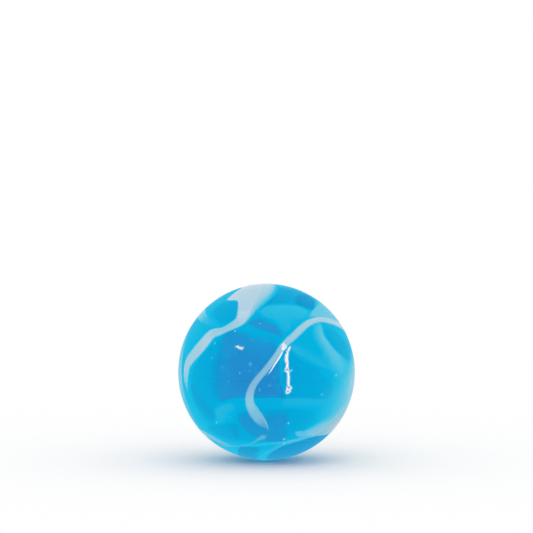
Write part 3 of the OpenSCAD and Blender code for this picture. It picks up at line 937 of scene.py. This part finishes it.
class MARBLE_OT_ball(bpy.types.Operator):
    """Make the ball of clear blue glass"""
    bl_idname = "marble.ball"
    bl_label = "Blue glass ball"

    def execute(self, context):
        look = context.scene.marble_ball
        here, quads = cube_ball(look.cells)
        points = here * (look.radius - dents(here))[:, None]
        ball = new_piece("glass_ball", points, quads, np.zeros((0, 3), int),
                         material=blue_glass(look), slot="blue_glass")
        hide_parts(NODE)
        return {"FINISHED"}


class MARBLE_OT_ribbons(bpy.types.Operator):
    """Make the white glass ribbons in the skin"""
    bl_idname = "marble.ribbons"
    bl_label = "White ribbons"

    def execute(self, context):
        white = streaked_glass("white_glass", WHITE_TONES, RIBBON_GRAIN, 0.07)
        bright = streaked_glass("bright_white", BRIGHT_TONES, RIBBON_GRAIN, 0.02)
        for name, run in (("crown_ribbon", CROWN_RUN), ("wave_ribbon", WAVE_RUN),
                          ("wave_tail", TAIL_RUN), ("low_thread", THREAD_RUN),
                          ("sill_thread", SILL_RUN), ("shoulder_ribbon", SHOULDER_RUN)):
            new_piece(name, *strip(run, *RIBBON_SECTION), white, "white_glass")
        new_piece("crown_hook", *patch(HOOK_PATCH, *HOOK_SECTION, 1), bright, "white_glass")
        return {"FINISHED"}


class MARBLE_OT_veils(bpy.types.Operator):
    """Make the milky veils smeared thinly in the skin"""
    bl_idname = "marble.veils"
    bl_label = "Milky veils"

    def execute(self, context):
        milky = streaked_glass("milky_glass", MILKY_TONES, VEIL_GRAIN, 0.22)
        for name, run in (("fall_veil", FALL_VEIL), ("brim_veil", BRIM_VEIL),
                          ("rim_veil", RIM_VEIL), ("spur_veil", SPUR_VEIL),
                          ("ledge_veil", LEDGE_VEIL), ("nape_veil", NAPE_VEIL),
                          ("heel_veil", HEEL_VEIL)):
            new_piece(name, *strip(run, *VEIL_SECTION), milky, "white_glass")
        # Each wide veil with its lift over the others in mm, and its opacity.
        for name, outline, lift, opacity in (("brow_veil", BROW_VEIL, 0, 0.33),
                                             ("shore_veil", SHORE_VEIL, 0.01, 0.50),
                                             ("cheek_veil", CHEEK_VEIL, 0, 0.10),
                                             ("lens_veil", LENS_VEIL, 0, 0.075)):
            depth, outer, inner = VEIL_SECTION
            new_piece(name, *patch(outline, depth - lift * MM, outer + lift * MM, inner, opacity),
                      milky, "white_glass")
        return {"FINISHED"}


class MARBLE_OT_streams(bpy.types.Operator):
    """Make the streams of denser blue glass and the front sheets of painted shade"""
    bl_idname = "marble.streams"
    bl_label = "Dense blue streams"

    def execute(self, context):
        inside = {"gloss": 0, "roughness": 0.8, "glow": 0.3}
        dense = streaked_glass("dense_blue", DENSE_TONES, STREAM_GRAIN, 0.08, **inside)
        violet = streaked_glass("violet_blue", VIOLET_TONES, STREAM_GRAIN, 0.08, **inside)
        # Each stream with its glass, its depth and thickness in mm, and its opacity.
        for name, outline, tinted, depth, thick, opacity in (
                # The first three are painted shade, drawn as denser glass.
                ("front_shade_sheet", FRONT_SHADE_SHEET, violet, 1.0, 0.5, 0.32),
                ("front_core_shade", FRONT_CORE_SHADE, dense, 1.5, 0.2, 0.10),
                ("front_wedge_shade", FRONT_WEDGE_SHADE, violet, 0.6, 0.1, 0.30),
                ("left_haze", LEFT_HAZE, dense, 0.5, 0.1, 0.12),
                ("nook_stream", NOOK_STREAM, dense, 0.3, 0.1, 0.14),
                ("right_haze", RIGHT_HAZE, dense, 1.5, 0.6, 0.10),
                ("foot_stream", FOOT_STREAM, violet, 0.6, 0.2, 0.22),
                ("foot_haze", FOOT_HAZE, dense, 0.9, 0.2, 0.12),
                ("low_stream", LOW_STREAM, dense, 0.7, 0.1, 0.15),
                ("keel_stream", KEEL_STREAM, dense, 0.4, 0.1, 0.28),
                ("side_stream", SIDE_STREAM, dense, 0.4, 0.1, 0.12),
                ("brow_stream", BROW_STREAM, dense, 0.4, 0.1, 0.17),
                ("crown_stream", CROWN_STREAM, dense, 0.5, 0.1, 0.20),
                ("left_stream", LEFT_STREAM, dense, 0.6, 0.1, 0.08),
                ("sole_stream", SOLE_STREAM, dense, 0.4, 0.1, 0.32),
                ("nape_stream", NAPE_STREAM, dense, 0.8, 0.2, 0.36),
                ("hip_stream", HIP_STREAM, dense, 1.0, 0.3, 0.36),
                ("calf_stream", CALF_STREAM, dense, 0.8, 0.2, 0.36)):
            bulge = thick / 2 * MM
            new_piece(name, *patch(outline, depth * MM, bulge, bulge, opacity), tinted,
                      "blue_glass")
        return {"FINISHED"}


class MARBLE_OT_seeds(bpy.types.Operator):
    """Make the seed bubbles"""
    bl_idname = "marble.seeds"
    bl_label = "Seed bubbles"

    def execute(self, context):
        new_piece("seed_bubbles", *blisters(SEEDS, context.scene.marble_ball.seeds, seed=7),
                  material=seed_glass(), slot="blue_glass")
        return {"FINISHED"}


class MARBLE_OT_crease(bpy.types.Operator):
    """Make the crinkled crease and its loops, and the painted glints: at the pit, along the
    ribbon, on its patch and in small flecks
    """
    bl_idname = "marble.crease"
    bl_label = "Crease and flecks"

    def execute(self, context):
        frost_and_glint = frost_and_glint_glass()
        # The white threads are painted highlights; on the crease and its loops they lie on real
        # dents.
        threads = [("crease", CREASE_RUN, False, 0), ("crease_foot", CREASE_FOOT_RUN, False, 0)]
        threads += [(f"crease_loop_{n}", run, True, 0) for n, run in enumerate(CREASE_LOOPS)]
        threads += [(f"ribbon_highlight_{n}", run, False, 0.03) for n, run in enumerate(HIGHLIGHT_PATCH_RUNS)]
        threads += [(f"pit_glint_{n}", run, False, 0) for n, run in enumerate(PIT_GLINT_RUNS)]
        threads += [(f"glint_fleck_{n}", run, False, 0) for n, run in enumerate(GLINT_FLECK_RUNS)]
        for seed, (name, run, closed, lift) in enumerate(threads):
            thread = crumple(run, lift * MM - CRINKLE_SINK, CRINKLE_HEIGHT, seed, closed)
            new_piece(name, *thread, material=frost_and_glint, slot="white_glass")
        # The glint is a painted highlight: a thin white thread on the ribbon's edge.
        glint = np.column_stack([GLINT_RUN, np.ones(len(GLINT_RUN))])
        new_piece("ribbon_glint", *strip(glint, *GLINT_SECTION, around=10)[:3],
                  material=frost_and_glint, slot="white_glass")
        # The splinters along the crease are partly painted highlight; those on the patch are
        # painted highlight.
        for seed, (name, run, count, length) in enumerate((
                ("crease_splinters", CREASE_RUN, 60, 0.30),
                ("foot_splinters", CREASE_FOOT_RUN, 40, 0.26),
                ("highlight_splinters", HIGHLIGHT_PATCH_RUNS[0], 26, 0.24))):
            new_piece(name, *shards(run, count, length * MM, seed), material=frost_and_glint,
                      slot="white_glass")
        return {"FINISHED"}


class MARBLE_OT_stage(bpy.types.Operator):
    """Make the pale floor, the soft light and the camera"""
    bl_idname = "marble.stage"
    bl_label = "Stage"

    def execute(self, context):
        look, scene = context.scene.marble_stage, context.scene
        sides = 96
        turn = np.linspace(0, 2 * np.pi, sides, endpoint=False)
        rim = np.stack([np.cos(turn), np.sin(turn), 0 * turn], -1) * look.floor_radius
        points = np.vstack([rim, [[0, 0, 0]]]) + [0, 0, -BALL_R]
        i = np.arange(sides)
        fans = np.stack([i, (i + 1) % sides, np.full(sides, sides)], -1)
        mesh = bpy.data.meshes.new("floor")
        mesh.from_pydata(points.tolist(), [], fans.tolist())
        mesh.materials.append(floor_material(look))
        floor = bpy.data.objects.new("floor", mesh)
        scene.collection.objects.link(floor)

        world = bpy.data.worlds.new("white_room")
        world.use_nodes = True
        background = world.node_tree.nodes["Background"]
        background.inputs["Color"].default_value = WHITE
        background.inputs["Strength"].default_value = look.world_light
        scene.world = world

        camera = bpy.data.cameras.new("camera")
        eye = bpy.data.objects.new("camera", camera)
        scene.collection.objects.link(eye)
        scene.camera = eye
        camera.sensor_width = 36
        frame_side = 2 * BALL_R / look.ball_share
        rise = look.ball_drop * frame_side
        tilt = look.view_height - math.atan(rise / look.view_distance)
        camera.lens = camera.sensor_width * look.view_distance / frame_side
        back = Vector((0, -math.cos(tilt), math.sin(tilt)))
        up = Vector((0, math.sin(tilt), math.cos(tilt)))
        eye.location = back * look.view_distance + up * rise
        eye.rotation_mode = "QUATERNION"
        eye.rotation_quaternion = back.to_track_quat("Z", "Y")
        camera.clip_start, camera.clip_end = 0.001, 10

        scene.view_settings.view_transform = "Standard"
        scene.cycles.transparent_max_bounces = 32
        return {"FINISHED"}


class MARBLE_PT_sidebar(bpy.types.Panel):
    bl_label = "Glass marble"
    bl_idname = "MARBLE_PT_sidebar"
    bl_space_type = "VIEW_3D"
    bl_region_type = "UI"
    bl_category = "Marble"

    def draw(self, context):
        column = self.layout.column()
        for operator in OPERATORS:
            column.operator(operator.bl_idname)


OPERATORS = (MARBLE_OT_ball, MARBLE_OT_ribbons, MARBLE_OT_veils, MARBLE_OT_streams,
             MARBLE_OT_seeds, MARBLE_OT_crease, MARBLE_OT_stage)
CLASSES = (BallSettings, StageSettings, *OPERATORS, MARBLE_PT_sidebar)


def register():
    for cls in CLASSES:
        bpy.utils.register_class(cls)
    bpy.types.Scene.marble_ball = PointerProperty(type=BallSettings)
    bpy.types.Scene.marble_stage = PointerProperty(type=StageSettings)


def unregister():
    del bpy.types.Scene.marble_stage
    del bpy.types.Scene.marble_ball
    for cls in reversed(CLASSES):
        bpy.utils.unregister_class(cls)


def main():
    register()
    bpy.ops.marble.ball()
    bpy.ops.marble.ribbons()
    bpy.ops.marble.veils()
    bpy.ops.marble.streams()
    bpy.ops.marble.seeds()
    bpy.ops.marble.crease()
    bpy.ops.marble.stage()


if __name__ == "__main__":
    main()
